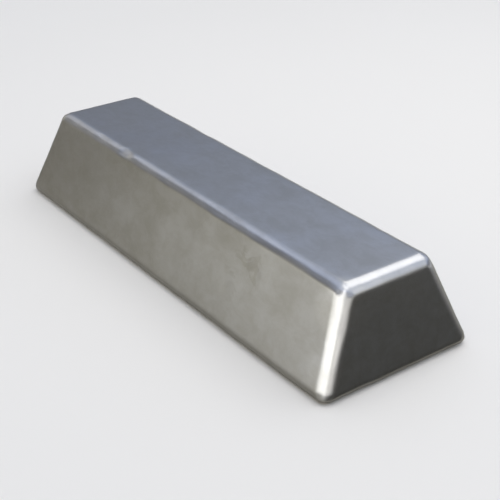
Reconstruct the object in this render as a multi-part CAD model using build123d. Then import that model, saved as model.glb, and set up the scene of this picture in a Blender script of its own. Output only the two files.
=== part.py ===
from build123d import *
import os

# Aluminium remelt ingot, cast as one solid piece in an open mould.
# X runs along the length, Y across the width and Z up.
# The origin is the middle of the wide base face, which the ingot lies on.

# Driving dimensions in millimetres, outlines measured to the sharp corners
base_length = 575.0
base_width = 192.0
crown_length = 529.0
crown_width = 108.0
height = 101.0

# Radius of the mould cavity, on the crown's edges and the four slanted corners
edge_radius = 13.5

# Radius of the rim round the base face, where the metal met the mould's lip
rim_radius = 8.0


def wall_profile(base, crown):
    """The outline that two opposite walls make with the base and the crown."""
    corners = [(-base / 2, 0), (base / 2, 0), (crown / 2, height), (-crown / 2, height)]
    return Polygon(*corners, align=None)


def tapered_block():
    """The casting with sharp edges: what the lengthwise and the crosswise outline have in common."""
    side_walls = extrude(Plane.YZ * wall_profile(base_width, crown_width), base_length / 2, both=True)
    end_walls = extrude(Plane.XZ * wall_profile(base_length, crown_length), base_width / 2, both=True)
    return side_walls & end_walls


def round_edges(block):
    """Shrinks the block, rounds its cavity edges by part of their radius, and rolls a ball round it.

    The ball has the rim's radius: it rounds the sharp base edges to the rim, brings the cavity edges
    to their full radius and blends all of them where three meet at a corner.
    """
    core = offset(block, -rim_radius, kind=Kind.INTERSECTION)
    base_edges = core.edges().group_by(Axis.Z)[0]
    cavity_edges = [edge for edge in core.edges() if edge not in base_edges]
    core = fillet(cavity_edges, radius=edge_radius - rim_radius)
    return offset(core, rim_radius, kind=Kind.ARC)


os.makedirs("parts", exist_ok=True)
ingot = round_edges(tapered_block())
ingot.label = "ingot"
export_step(ingot, "parts/ingot.step")
print(f"ingot: {ingot.volume / 1e6:.3f} litres, box {ingot.bounding_box().size}")
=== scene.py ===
# %% [markdown]
# # A cast aluminium ingot
# An ingot is molten metal poured into an iron mould and tipped out when it is cold. It is one solid bar:
# a wide base, a narrow crown, four leaning walls, and edges as round as the mould was.
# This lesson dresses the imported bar: the casting is modelled by hand over the same sizes, made a little
# uneven, given a metal finish, and lit so that its rounded edges shine and its faces stay grey.

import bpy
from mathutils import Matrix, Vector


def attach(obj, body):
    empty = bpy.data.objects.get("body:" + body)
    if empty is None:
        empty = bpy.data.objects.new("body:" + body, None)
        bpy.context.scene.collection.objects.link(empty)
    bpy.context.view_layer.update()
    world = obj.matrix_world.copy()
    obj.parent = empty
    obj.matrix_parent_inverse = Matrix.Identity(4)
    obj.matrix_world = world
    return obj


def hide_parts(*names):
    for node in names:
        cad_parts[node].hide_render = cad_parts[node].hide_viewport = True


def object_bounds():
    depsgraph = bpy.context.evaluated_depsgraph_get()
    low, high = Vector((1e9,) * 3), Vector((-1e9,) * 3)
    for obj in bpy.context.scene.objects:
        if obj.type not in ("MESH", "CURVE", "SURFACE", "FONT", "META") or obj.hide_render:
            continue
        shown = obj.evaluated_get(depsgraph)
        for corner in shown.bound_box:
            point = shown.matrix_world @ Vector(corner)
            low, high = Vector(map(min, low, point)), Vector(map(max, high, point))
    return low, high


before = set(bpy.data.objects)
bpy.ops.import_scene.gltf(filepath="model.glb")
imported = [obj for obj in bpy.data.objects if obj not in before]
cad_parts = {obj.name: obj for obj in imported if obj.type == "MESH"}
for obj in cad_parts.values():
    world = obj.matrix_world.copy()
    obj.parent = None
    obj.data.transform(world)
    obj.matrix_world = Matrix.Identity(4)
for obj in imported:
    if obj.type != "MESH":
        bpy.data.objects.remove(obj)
cad_low, cad_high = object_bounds()
print("packed box, metres:", [round(v, 4) for v in (*cad_low, *cad_high)])

# %% [markdown]
# ## Block out the bar
# The mould is a tapered trough, so the bar is a box whose top is narrower and shorter than its bottom.
# It could be lofted between two rectangles, but scaling a cube's top face gives the same four flat walls
# in one step, and the cube's twelve edges are then ready to be rounded.

# %% A cube at the bar's size, with its top face drawn in
import math
import bmesh
import bpy
from mathutils import Vector

BASE_LENGTH, BASE_WIDTH = 0.575, 0.192      # outlines to the sharp corners, metres
CROWN_LENGTH, CROWN_WIDTH = 0.529, 0.108
HEIGHT = cad_high.z
POINTS_UP = 0.9          # least Z of a normal that points up


def pick(kind, wanted):
    """In edit mode, selects only the verts, edges or faces that wanted() says yes to."""
    bpy.ops.mesh.select_mode(type=kind)
    bpy.ops.mesh.select_all(action="DESELECT")
    mesh = bmesh.from_edit_mesh(bpy.context.object.data)
    parts = {"VERT": mesh.verts, "EDGE": mesh.edges, "FACE": mesh.faces}[kind]
    for part in parts:
        if wanted(part):
            part.select_set(True)
    bmesh.update_edit_mesh(bpy.context.object.data)


bpy.ops.object.select_all(action="DESELECT")
bpy.ops.mesh.primitive_cube_add(size=1, location=(0, 0, HEIGHT / 2), scale=(BASE_LENGTH, BASE_WIDTH, HEIGHT))
casting = bpy.context.object
casting.name = "ingot_casting"
bpy.ops.object.transform_apply(location=True, rotation=False, scale=True)

bpy.ops.object.mode_set(mode="EDIT")
pick("FACE", lambda face: face.normal.z > POINTS_UP)
drawn_in = (CROWN_LENGTH / BASE_LENGTH, CROWN_WIDTH / BASE_WIDTH, 1)
bpy.ops.transform.resize(value=drawn_in, center_override=(0, 0, HEIGHT))
print("bar blocked out, crown drawn in by", [round(v, 3) for v in drawn_in])

# %% [markdown]
# ## Round the edges
# Metal can't fill a sharp corner, and a sharp mould would crack, so every edge is a round. The edges that
# the mould's cavity shaped have one radius. The rim round the base is tighter.
# Bevel measures how far a round reaches along the faces. That depends on how sharply the two faces meet,
# so each edge gets the reach that gives its radius, as a bevel weight, and one Bevel modifier rounds all
# twelve together: three rounds then blend at every corner.

# %% One bevel, weighted edge by edge
EDGE_RADIUS = 0.0135     # crown edges and slanted corners
RIM_RADIUS = 0.008       # round the base
ROUND_STEPS = 10


def bevel_reach(edge):
    """How far along its faces the round of this edge reaches."""
    on_base = max(vert.co.z for vert in edge.verts) < HEIGHT / 2
    radius = RIM_RADIUS if on_base else EDGE_RADIUS
    return radius * math.tan(edge.calc_face_angle() / 2)


reaches = [bevel_reach(edge) for edge in bmesh.from_edit_mesh(casting.data).edges]
widest = max(reaches)
for index, reach in enumerate(reaches):
    pick("EDGE", lambda edge: edge.index == index)
    bpy.ops.transform.edge_bevelweight(value=reach / widest)
bpy.ops.object.mode_set(mode="OBJECT")

bpy.ops.object.modifier_add(type="BEVEL")
rounding = casting.modifiers[-1]
rounding.limit_method = "WEIGHT"
rounding.width = widest
rounding.segments = ROUND_STEPS
rounding.use_clamp_overlap = False
bpy.ops.object.modifier_apply(modifier=rounding.name)
reach_list = sorted({round(1000 * reach, 1) for reach in reaches})
print("rounds reach", reach_list, "mm;", len(casting.data.polygons), "faces")

# %% [markdown]
# ## Give the faces a fine grid
# Dents and waves need points to move, and the six flat faces are still single quads. Remeshing would
# spread points everywhere but would also blur the flats, so the long edges are cut instead: first those
# along the bar, then across it, then up the walls. Every face becomes an even grid and stays flat.

# %% Cut the long edges, one direction at a time
SHORTEST_CUT = 0.02      # the rounds' own short edges are left alone
MOSTLY = 0.7             # least share of an edge's way that is along its axis
CUTS = [(0, 14), (0, 13), (1, 48), (2, 35)]     # axis, cuts; along the bar in two rounds


def runs_along(edge, axis):
    """Whether this is a long edge that runs along the axis."""
    way = edge.verts[1].co - edge.verts[0].co
    return way.length > SHORTEST_CUT and abs(way.normalized()[axis]) > MOSTLY


bpy.ops.object.mode_set(mode="EDIT")
for axis, cuts in CUTS:
    pick("EDGE", lambda edge: runs_along(edge, axis))
    bpy.ops.mesh.subdivide(number_cuts=cuts)
bpy.ops.object.mode_set(mode="OBJECT")
bpy.ops.object.shade_smooth()
print("grid of", len(casting.data.polygons), "faces")

# %% [markdown]
# ## Find the rounds
# Handling wears the edges more than the faces, so both the dents and the finish need to know where the
# rounds are. A point on a flat has a flat's own normal, and on a round the normal has turned away from
# all six. That turn, from 0 to 1, is kept as a vertex group for modifiers and an attribute for the finish.
# A second attribute says how steep the surface is, because the walls vary more than the crown.

# %% Mark how far the surface has turned from the flats
FULL_TURN = 0.06         # what the cosine to the nearest flat has lost where the turn is 1
ON_A_ROUND = 0.8         # turn past which a point counts as on a round

side_lean, end_lean = (BASE_WIDTH - CROWN_WIDTH) / 2, (BASE_LENGTH - CROWN_LENGTH) / 2
flats = [Vector((0, 0, 1)), Vector((0, 0, -1))]
flats += [Vector((0, side * HEIGHT, side_lean)).normalized() for side in (-1, 1)]
flats += [Vector((end * HEIGHT, 0, end_lean)).normalized() for end in (-1, 1)]


def turn_of(vert):
    """How far the surface has turned from the nearest flat, from 0 to 1."""
    return min(1.0, (1 - max(vert.normal.dot(flat) for flat in flats)) / FULL_TURN)


turns = [turn_of(vert) for vert in casting.data.vertices]
rounds = casting.vertex_groups.new(name="rounds")
for index, turn in enumerate(turns):
    if turn > 0:
        rounds.add([index], turn, "REPLACE")
worn = casting.data.attributes.new("worn", "FLOAT", "POINT")
worn.data.foreach_set("value", turns)
steep = casting.data.attributes.new("steep", "FLOAT", "POINT")
steep.data.foreach_set("value", [1 - abs(vert.normal.z) for vert in casting.data.vertices])
print("share of points on the rounds:", round(sum(turn > ON_A_ROUND for turn in turns) / len(turns), 3))

# %% [markdown]
# ## Make it uneven, as castings are
# The skin of a casting is never quite flat: it shrinks as it cools, and its edges are rubbed by handling.
# Sculpting would do it, but Displace modifiers with cloud textures give the same on every run.
# They only press inwards, so the bar stays inside its packed box.

# %% Slow waves on the faces, shorter ones on the rounds


def press_in(name, wave, depth, group=""):
    """Presses the surface in by up to depth, in clouds about one wave across."""
    clouds = bpy.data.textures.new(name, "CLOUDS")
    clouds.noise_scale = wave
    clouds.noise_depth = 1
    bpy.ops.object.modifier_add(type="DISPLACE")
    pressing = casting.modifiers[-1]
    pressing.texture = clouds
    pressing.texture_coords = "LOCAL"
    pressing.strength = depth
    pressing.mid_level = 1       # white stays in place, and anything darker goes in
    pressing.vertex_group = group
    bpy.ops.object.modifier_apply(modifier=pressing.name)


press_in("shrinkage", wave=0.11, depth=0.0006)
press_in("handling", wave=0.034, depth=0.0011, group="rounds")
heights = [vert.co.z for vert in casting.data.vertices]
print("lowest and highest point now", round(min(heights), 5), round(max(heights), 5))

# %% [markdown]
# ## Knocks and nicks
# A few harder knocks show where the light catches them: a rubbed flat in the long crown edge, a softened
# near corner, and shallow dings on the long wall. The sides that face away have their share too, scattered
# over the rounds by a seeded draw, so that they are the same on every run.
# Each is one point pushed in with proportional editing, which draws its neighbours along in a hollow.

# %% Push single points in
import random

KNOCKS = [
    # place, depth and width of the hollow, metres
    ((-0.122, -0.0518, 0.0992), 0.0006, 0.009),
    ((-0.114, -0.0518, 0.0992), 0.0008, 0.011),
    ((-0.106, -0.0518, 0.0992), 0.0006, 0.009),
    ((0.259, -0.049, 0.097), 0.0010, 0.018),
    ((0.265, -0.059, 0.084), 0.0012, 0.032),
    ((0.275, -0.083, 0.032), 0.0004, 0.026),
    ((0.136, -0.065, 0.076), 0.00018, 0.010),
    ((0.154, -0.068, 0.069), 0.00024, 0.008),
    ((0.117, -0.079, 0.042), 0.00018, 0.012),
]
SCATTERED, SEED = 11, 5
SCATTERED_DEPTHS = (0.0003, 0.0009)
SCATTERED_WIDTHS = (0.006, 0.016)
FAR_SIDE, FAR_END = 0.03, -0.26     # Y and X past which a round faces away
draw = random.Random(SEED)


def knock(place, depth, width):
    """Pushes in the point of the casting that is nearest to this place."""
    mesh = bmesh.from_edit_mesh(casting.data)
    nearest = min(mesh.verts, key=lambda vert: (vert.co - Vector(place)).length)
    push = nearest.normal * -depth
    struck = nearest.index
    pick("VERT", lambda vert: vert.index == struck)
    bpy.ops.transform.translate(
        value=push, use_proportional_edit=True, proportional_edit_falloff="SMOOTH", proportional_size=width
    )


on_rounds = [vert.co.copy() for vert, turn in zip(casting.data.vertices, turns) if turn > ON_A_ROUND]
facing_away = [place for place in on_rounds if place.y > FAR_SIDE or place.x < FAR_END]
for place in draw.sample(facing_away, SCATTERED):
    KNOCKS.append((place, draw.uniform(*SCATTERED_DEPTHS), draw.uniform(*SCATTERED_WIDTHS)))
bpy.ops.object.mode_set(mode="EDIT")
for place, depth, width in KNOCKS:
    knock(place, depth, width)
bpy.ops.object.mode_set(mode="OBJECT")
print(len(KNOCKS), "knocks")

# %% [markdown]
# ## The metal
# Bare aluminium would be almost a mirror. A casting isn't: its oxide skin is clouded and mottled, most of
# all on the walls, where the metal lay against the mould. An image could show that, but noise that is read
# at each point of the bar needs no unwrapping and has no seams.
# Small helpers keep the node tree readable: noise() gives a pattern, spread() stretches part of its range
# to 0 and 1, and combine() does sums with patterns.

# %% Helpers for the node tree
finish = bpy.data.materials.new("as_cast_metal")
finish.use_nodes = True
nodes, links = finish.node_tree.nodes, finish.node_tree.links
surface = nodes["Principled BSDF"]
bar_place = nodes.new("ShaderNodeTexCoord").outputs["Object"]


def plug(value, socket):
    """Links a pattern to a socket, or sets the socket where the value is plain."""
    if isinstance(value, bpy.types.NodeSocket):
        links.new(value, socket)
    else:
        socket.default_value = value


def noise(size, detail, drawn_out=(1, 1, 1), swirl=0.0, grit=0.5):
    """Clouds about size metres across, drawn out that many times along each axis."""
    mapping = nodes.new("ShaderNodeMapping")
    links.new(bar_place, mapping.inputs["Vector"])
    mapping.inputs["Scale"].default_value = [1 / (size * longer) for longer in drawn_out]
    pattern = nodes.new("ShaderNodeTexNoise")
    links.new(mapping.outputs["Vector"], pattern.inputs["Vector"])
    pattern.inputs["Scale"].default_value = 1
    pattern.inputs["Detail"].default_value = detail
    pattern.inputs["Distortion"].default_value = swirl
    pattern.inputs["Roughness"].default_value = grit
    return pattern.outputs["Fac"]


def spread(value, low, high, to_low=0.0, to_high=1.0):
    """Stretches the range from low to high so that it runs smoothly from to_low to to_high."""
    ramp = nodes.new("ShaderNodeMapRange")
    ramp.interpolation_type = "SMOOTHSTEP"
    plug(value, ramp.inputs["Value"])
    for name, number in zip(("From Min", "From Max", "To Min", "To Max"), (low, high, to_low, to_high)):
        ramp.inputs[name].default_value = number
    return ramp.outputs["Result"]


def combine(operation, first, second):
    """A pattern made of two others, or of one and a number."""
    sum_node = nodes.new("ShaderNodeMath")
    sum_node.operation = operation
    plug(first, sum_node.inputs[0])
    plug(second, sum_node.inputs[1])
    return sum_node.outputs["Value"]


print("finish", finish.name)

# %% [markdown]
# ## Colour of the skin
# Two patterns are added to one tone from 0 to 1: wide clouds and fine mottle, both a little longer along
# the bar than across it. The walls, which the mould chilled first, vary more than the crown. A colour ramp
# turns the tone into greys, dull where the oxide is thick and paler where it is thin. One patch on the long
# wall is flecked.

# %% Tone and colour
CLOUD_SHARE, MOTTLE_SHARE, FLECK_SHARE = 0.53, 0.47, 0.42
USUAL_LOW, USUAL_HIGH = 0.3, 0.7        # between these lie most values of a noise
FLECK_LOW, FLECK_HIGH = 0.54, 0.66      # only the peaks of its noise become flecks
FLECKED_PLACE = (0.137, -0.068, 0.064)
FLECKED_FULLY, FLECKED_TO = 0.012, 0.045     # how far round that place, metres
MIDDLE = 0.5             # the tone that more contrast leaves alone
CROWN_STEEP, WALL_STEEP = 0.1, 0.6      # a crown is less steep than the one, a wall more than the other
CROWN_CONTRAST, WALL_CONTRAST = 0.78, 1.04
DULL_SKIN, PALE_SKIN = (0.42, 0.413, 0.391, 1), (0.58, 0.584, 0.594, 1)

clouds = spread(noise(size=0.07, detail=3, drawn_out=(1.3, 1, 1)), USUAL_LOW, USUAL_HIGH)
mottle = noise(size=0.022, detail=4, drawn_out=(1.4, 1, 1), swirl=0.3, grit=0.72)
mottle = spread(mottle, USUAL_LOW, USUAL_HIGH)

distance = nodes.new("ShaderNodeVectorMath")
distance.operation = "DISTANCE"
links.new(bar_place, distance.inputs[0])
distance.inputs[1].default_value = FLECKED_PLACE
nearness = spread(distance.outputs["Value"], FLECKED_FULLY, FLECKED_TO, 1.0, 0.0)
flecks = noise(size=0.012, detail=3, drawn_out=(1.6, 1, 1.2), swirl=1.2)
flecks = combine("MULTIPLY", nearness, spread(flecks, FLECK_LOW, FLECK_HIGH))

tone = combine("MULTIPLY", clouds, CLOUD_SHARE)
tone = combine("ADD", tone, combine("MULTIPLY", mottle, MOTTLE_SHARE))
steepness = nodes.new("ShaderNodeAttribute")
steepness.attribute_name = "steep"
contrast = spread(steepness.outputs["Fac"], CROWN_STEEP, WALL_STEEP, CROWN_CONTRAST, WALL_CONTRAST)
tone = combine("MULTIPLY", combine("SUBTRACT", tone, MIDDLE), contrast)
tone = combine("ADD", tone, MIDDLE)
tone = combine("SUBTRACT", tone, combine("MULTIPLY", flecks, FLECK_SHARE))

skin = nodes.new("ShaderNodeValToRGB")
links.new(tone, skin.inputs["Fac"])
skin.color_ramp.elements[0].color = DULL_SKIN
skin.color_ramp.elements[1].color = PALE_SKIN
print("tone from", len([node for node in nodes if node.type == "TEX_NOISE"]), "patterns")

# %% [markdown]
# ## Shine, wear and fine relief
# On the rounds the skin is rubbed bright, so there the metal is paler and a little smoother. Elsewhere it
# is satin, and duller where the tone is dark. The grain that the mould left and faint dimples are too fine
# to model, so they are bump, with heights in metres.

# %% Wear and roughness
BRIGHT_METAL = (0.64, 0.64, 0.645, 1)
RUB_LOW, RUB_HIGH = 0.2, 0.6      # range of the noise that varies the rubbing
LEAST_RUBBED = 0.45      # share of the brightening where a round is rubbed least
DULL_TONE, PALE_TONE = 0.2, 0.8
DULL_ROUGHNESS, PALE_ROUGHNESS = 0.36, 0.31
POLISH = 0.025           # how much smoother the rubbed rounds are
SHARE, PLAIN, RUBBED, MIXED = 0, 6, 7, 2     # sockets of a Mix node that mixes colours

worn_share = nodes.new("ShaderNodeAttribute")
worn_share.attribute_name = "worn"
rubbing = spread(noise(size=0.02, detail=3), RUB_LOW, RUB_HIGH, LEAST_RUBBED, 1.0)
rubbed_bright = combine("MULTIPLY", worn_share.outputs["Fac"], rubbing)

brightened = nodes.new("ShaderNodeMix")
brightened.data_type = "RGBA"
links.new(rubbed_bright, brightened.inputs[SHARE])
links.new(skin.outputs["Color"], brightened.inputs[PLAIN])
brightened.inputs[RUBBED].default_value = BRIGHT_METAL
links.new(brightened.outputs[MIXED], surface.inputs["Base Color"])
surface.inputs["Metallic"].default_value = 1.0

satin = spread(tone, DULL_TONE, PALE_TONE, DULL_ROUGHNESS, PALE_ROUGHNESS)
shine = combine("SUBTRACT", satin, combine("MULTIPLY", rubbed_bright, POLISH))
links.new(shine, surface.inputs["Roughness"])
print("roughness", DULL_ROUGHNESS, "to", round(PALE_ROUGHNESS - POLISH, 2))

# %% Grain and dimples
GRAIN, DIMPLE = 0.000004, 0.00005     # heights, metres

grain = combine("MULTIPLY", noise(size=0.0015, detail=2), GRAIN)
dimples = combine("MULTIPLY", noise(size=0.02, detail=2, drawn_out=(1.6, 1, 1)), DIMPLE)
relief = combine("ADD", grain, dimples)
bump = nodes.new("ShaderNodeBump")
bump.inputs["Distance"].default_value = 1.0
links.new(relief, bump.inputs["Height"])
links.new(bump.outputs["Normal"], surface.inputs["Normal"])
casting.data.materials.append(finish)
print("finish has", len(nodes), "nodes")

# %% [markdown]
# ## The floor
# The bar lies on a plain pale floor, matte so that only its shadow shows there. It is wide, because other
# views look across it from low down, and a little warm, because the light from above is a little blue.

# %% A wide matte floor
FLOOR_SIZE = 30
FLOOR_COLOUR = (0.862, 0.838, 0.794)
PAINT_ROUGHNESS, PAINT_GLOSS = 0.9, 0.1


def matte_paint(name, colour):
    """A dull finish of one colour, for things that aren't part of the bar."""
    paint = bpy.data.materials.new(name)
    paint.use_nodes = True
    shader = paint.node_tree.nodes["Principled BSDF"]
    shader.inputs["Base Color"].default_value = (*colour, 1)
    shader.inputs["Roughness"].default_value = PAINT_ROUGHNESS
    shader.inputs["Specular IOR Level"].default_value = PAINT_GLOSS
    return paint


bpy.ops.object.select_all(action="DESELECT")
bpy.ops.mesh.primitive_plane_add(size=FLOOR_SIZE)
floor = bpy.context.object
floor.name = "floor"
floor.data.materials.append(matte_paint("pale_floor", FLOOR_COLOUR))
print("floor", FLOOR_SIZE, "metres wide")

# %% [markdown]
# ## A backdrop
# Seen from low down, the floor ends at a horizon. A studio has a curved wall there, and this one is a ring
# of the same grey that the floor has in the distance, so that the two run into each other. It glows evenly,
# so no lamp has to reach it, and it is low, because the metal mirrors it too.

# %% A ring round the floor
BACKDROP_HEIGHT = 1.5
RING_SIDES = 96
DISTANT_GREY = (0.645, 0.652, 0.672)


def show_to(thing, camera, metal, floor):
    """Says whether the camera sees a thing, the metal mirrors it and the floor takes light from it."""
    thing.visible_camera = camera
    thing.visible_glossy = metal
    thing.visible_diffuse = floor


bpy.ops.mesh.primitive_cylinder_add(
    vertices=RING_SIDES, radius=FLOOR_SIZE / 2, depth=BACKDROP_HEIGHT, end_fill_type="NOTHING"
)
backdrop = bpy.context.object
backdrop.name = "backdrop"
bpy.ops.transform.translate(value=(0, 0, BACKDROP_HEIGHT / 2))
bpy.ops.object.transform_apply(location=True, rotation=False, scale=False)
glow = matte_paint("distant_grey", (0, 0, 0))
glow_shader = glow.node_tree.nodes["Principled BSDF"]
glow_shader.inputs["Emission Color"].default_value = (*DISTANT_GREY, 1)
glow_shader.inputs["Emission Strength"].default_value = 1
glow.cycles.emission_sampling = "NONE"      # it is looked at, and doesn't count as a lamp
backdrop.data.materials.append(glow)
show_to(backdrop, camera=True, metal=True, floor=False)
backdrop.visible_shadow = False
print("backdrop", BACKDROP_HEIGHT, "metres high")

# %% [markdown]
# ## Light from all round
# Metal shows what is around it, so its greys come from the room and not from its own colour. This room is
# dim and warm at the horizon, darker a little higher, and brightens upwards to a cool white, more so
# towards the back. The crown then goes from dark at its far end to pale at the near one, because the part
# of the room that it mirrors climbs. A picture of a real room would do as well, but seven colours over
# the height are enough for flat faces.

# %% A room that brightens with height
ROOM_TILT = math.radians(20)      # the bright side leans to the back
ROOM_COLOURS = [
    # sine of the height above the tilted horizon, colour of the light from there
    (0.0, (0.313, 0.296, 0.238)),
    (0.20, (0.325, 0.313, 0.277)),
    (0.33, (0.175, 0.175, 0.186)),
    (0.49, (0.112, 0.118, 0.134)),
    (0.64, (0.475, 0.55, 0.74)),
    (0.71, (0.54, 0.615, 0.79)),
    (1.0, (0.60, 0.62, 0.67)),
]

world = bpy.data.worlds.new("studio")
bpy.context.scene.world = world
world.use_nodes = True
room_nodes, room_links = world.node_tree.nodes, world.node_tree.links
direction = room_nodes.new("ShaderNodeTexCoord").outputs["Generated"]
above = room_nodes.new("ShaderNodeVectorMath")
above.operation = "DOT_PRODUCT"
room_links.new(direction, above.inputs[0])
above.inputs[1].default_value = (0, math.sin(ROOM_TILT), math.cos(ROOM_TILT))
room = room_nodes.new("ShaderNodeValToRGB")
room_links.new(above.outputs["Value"], room.inputs["Fac"])
stops = room.color_ramp.elements
while len(stops) < len(ROOM_COLOURS):
    stops.new(0.5)       # each gets its place below
for stop, (sine, colour) in zip(stops, ROOM_COLOURS):
    stop.position = sine
    stop.color = (*colour, 1)
room_links.new(room.outputs["Color"], room_nodes["Background"].inputs["Color"])
print("room of", len(stops), "colours")

# %% [markdown]
# ## Softboxes
# The bright bands along the rounds are softboxes, mirrored. One above and behind whitens the crown's end
# edge and throws the shadow. A wide one in front whitens the near corner, and the one above it carries
# the white on round the top of that corner. Dimmer fills let each band trail off to grey, and a strip on
# the left draws the pale line along the crown's side.
# All but the overhead one are there only for the metal to mirror, so the floor doesn't see them. The floor
# has a wide wash of its own instead, which the metal doesn't see. A lamp's energy is spread over its area,
# so it is worked out from how bright the softbox should look.

# %% Lights that face the bar
SOFTBOXES = [
    # name, place, width and height, brightness, colour, what it lights
    ("overhead_softbox", (0.12, 0.62, 1.5), (1.2, 1.4), 1.25, (1.0, 0.99, 0.97), "both"),
    ("front_softbox", (0.34, -1.67, 0.55), (2.86, 1.0), 1.62, (1.0, 0.995, 0.965), "metal"),
    ("corner_softbox", (0.9, -0.75, 1.35), (1.0, 1.3), 1.5, (1.0, 0.99, 0.97), "metal"),
    ("front_left_fill", (-0.92, -1.19, 0.3), (0.55, 0.6), 0.24, (1.0, 0.97, 0.82), "metal"),
    ("front_right_fill", (1.81, -0.385, 0.34), (1.4, 0.65), 1.0, (1.0, 0.98, 0.94), "metal"),
    ("end_fill", (1.3, 0.68, 0.85), (0.6, 0.8), 0.6, (1.0, 0.93, 0.7), "metal"),
    ("side_strip", (-0.9, -0.14, 0.66), (0.2, 0.85), 0.5, (1.0, 0.98, 0.96), "metal"),
    ("floor_wash", (0, 0, 5), (50, 50), 0.364, (1.0, 0.99, 0.97), "floor"),
]
FACED = Vector((0, 0, 0.05))     # the middle of the bar


def softbox(name, place, size, brightness, colour, lights):
    """A rectangular light at this place that faces the bar."""
    bpy.ops.object.light_add(type="AREA", location=place)
    box = bpy.context.object
    box.name = name
    box.data.shape = "RECTANGLE"
    box.data.size, box.data.size_y = size
    box.data.energy = brightness * math.pi * size[0] * size[1]
    box.data.color = colour
    box.rotation_euler = (FACED - box.location).to_track_quat("-Z", "Y").to_euler()
    show_to(box, camera=False, metal=lights in ("metal", "both"), floor=lights in ("floor", "both"))


for box_values in SOFTBOXES:
    softbox(*box_values)
print(len(SOFTBOXES), "lights")

# %% [markdown]
# ## Cards for the metal to mirror
# Walls that mirror a white floor look washed out, so photographers lay grey and black cards round metal.
# A wide grey mat under the bar keeps the walls grey down to the rim. A dark card beyond the near end, folded
# up at its far edge, darkens the whole end face. On the left, a paler one dims the far end of the long wall,
# and a long one farther out keeps the pale backdrop out of that wall. The cards are hidden from the camera
# and from the floor, and only show in the metal.

# %% A mat under the bar and three folded flags
MAT_MARGIN = 0.6
MAT_COLOUR = (0.333, 0.312, 0.258)
LIFT = 0.001             # the mat lies just clear of the floor, and the flags just clear of the mat
FLAGS = [
    # name, near and far edge along the bar, sides across it, height of the fold, colour
    ("end_flag", 0.288, 0.75, (-0.2, 0.6), 0.14, (0.066, 0.0635, 0.054)),
    ("left_flag", -0.45, -0.95, (-0.75, -0.2), 0.2, (0.283, 0.262, 0.214)),
    ("side_flag", -2.2, -2.4, (-7, 0.3), 1.0, (0.435, 0.41, 0.335)),
]


def card(name, low, high, lift, colour):
    """A flat matte card between two corners, for reflections only."""
    bpy.ops.object.select_all(action="DESELECT")
    bpy.ops.mesh.primitive_plane_add(size=1)
    bpy.context.object.name = name
    bpy.ops.transform.resize(value=(high[0] - low[0], high[1] - low[1], 1))
    bpy.ops.transform.translate(value=((low[0] + high[0]) / 2, (low[1] + high[1]) / 2, lift))
    bpy.ops.object.transform_apply(location=True, rotation=True, scale=True)
    sheet = bpy.context.object
    sheet.data.materials.append(matte_paint(name + "_paint", colour))
    show_to(sheet, camera=False, metal=True, floor=False)
    sheet.visible_shadow = False


def flag(name, near, far, sides, height, colour):
    """A card that lies between near and far along the bar, and is folded up at its far edge."""
    low, high = (min(near, far), sides[0]), (max(near, far), sides[1])
    card(name, low, high, 2 * LIFT, colour)
    bpy.ops.object.mode_set(mode="EDIT")
    pick("EDGE", lambda edge: max(abs(vert.co.x - far) for vert in edge.verts) < LIFT)
    bpy.ops.mesh.extrude_edges_move(TRANSFORM_OT_translate={"value": (0, 0, height)})
    bpy.ops.object.mode_set(mode="OBJECT")


for flag_values in FLAGS:
    flag(*flag_values)
mat_low = (cad_low.x - MAT_MARGIN, cad_low.y - MAT_MARGIN)
mat_high = (cad_high.x + MAT_MARGIN, cad_high.y + MAT_MARGIN)
card("mat", mat_low, mat_high, LIFT, MAT_COLOUR)
print(len(FLAGS), "flags, and a mat that reaches", MAT_MARGIN, "metres past the base")

# %% [markdown]
# ## The camera
# It looks down on the near corner, so that the crown, the long wall and the end all show. The place is the
# one from which the edges run as they do in the photograph, and the lens fills the frame with the bar.

# %% Place and aim the camera
CAMERA_PLACE = (0.8733, -0.6043, 0.5788)
AIM = Vector((0.0306, 0.0148, 0.0162))
LENS, SENSOR = 78.35, 36         # millimetres

bpy.ops.object.camera_add(location=CAMERA_PLACE)
camera = bpy.context.object
camera.rotation_euler = (AIM - camera.location).to_track_quat("-Z", "Y").to_euler()
camera.data.sensor_width = SENSOR
camera.data.lens = LENS
bpy.context.scene.camera = camera
bpy.context.scene.view_settings.view_transform = "Standard"
print("camera", round((AIM - camera.location).length, 3), "metres away")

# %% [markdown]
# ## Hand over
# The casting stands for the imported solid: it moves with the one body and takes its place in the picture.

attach(casting, "root")
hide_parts("ingot")
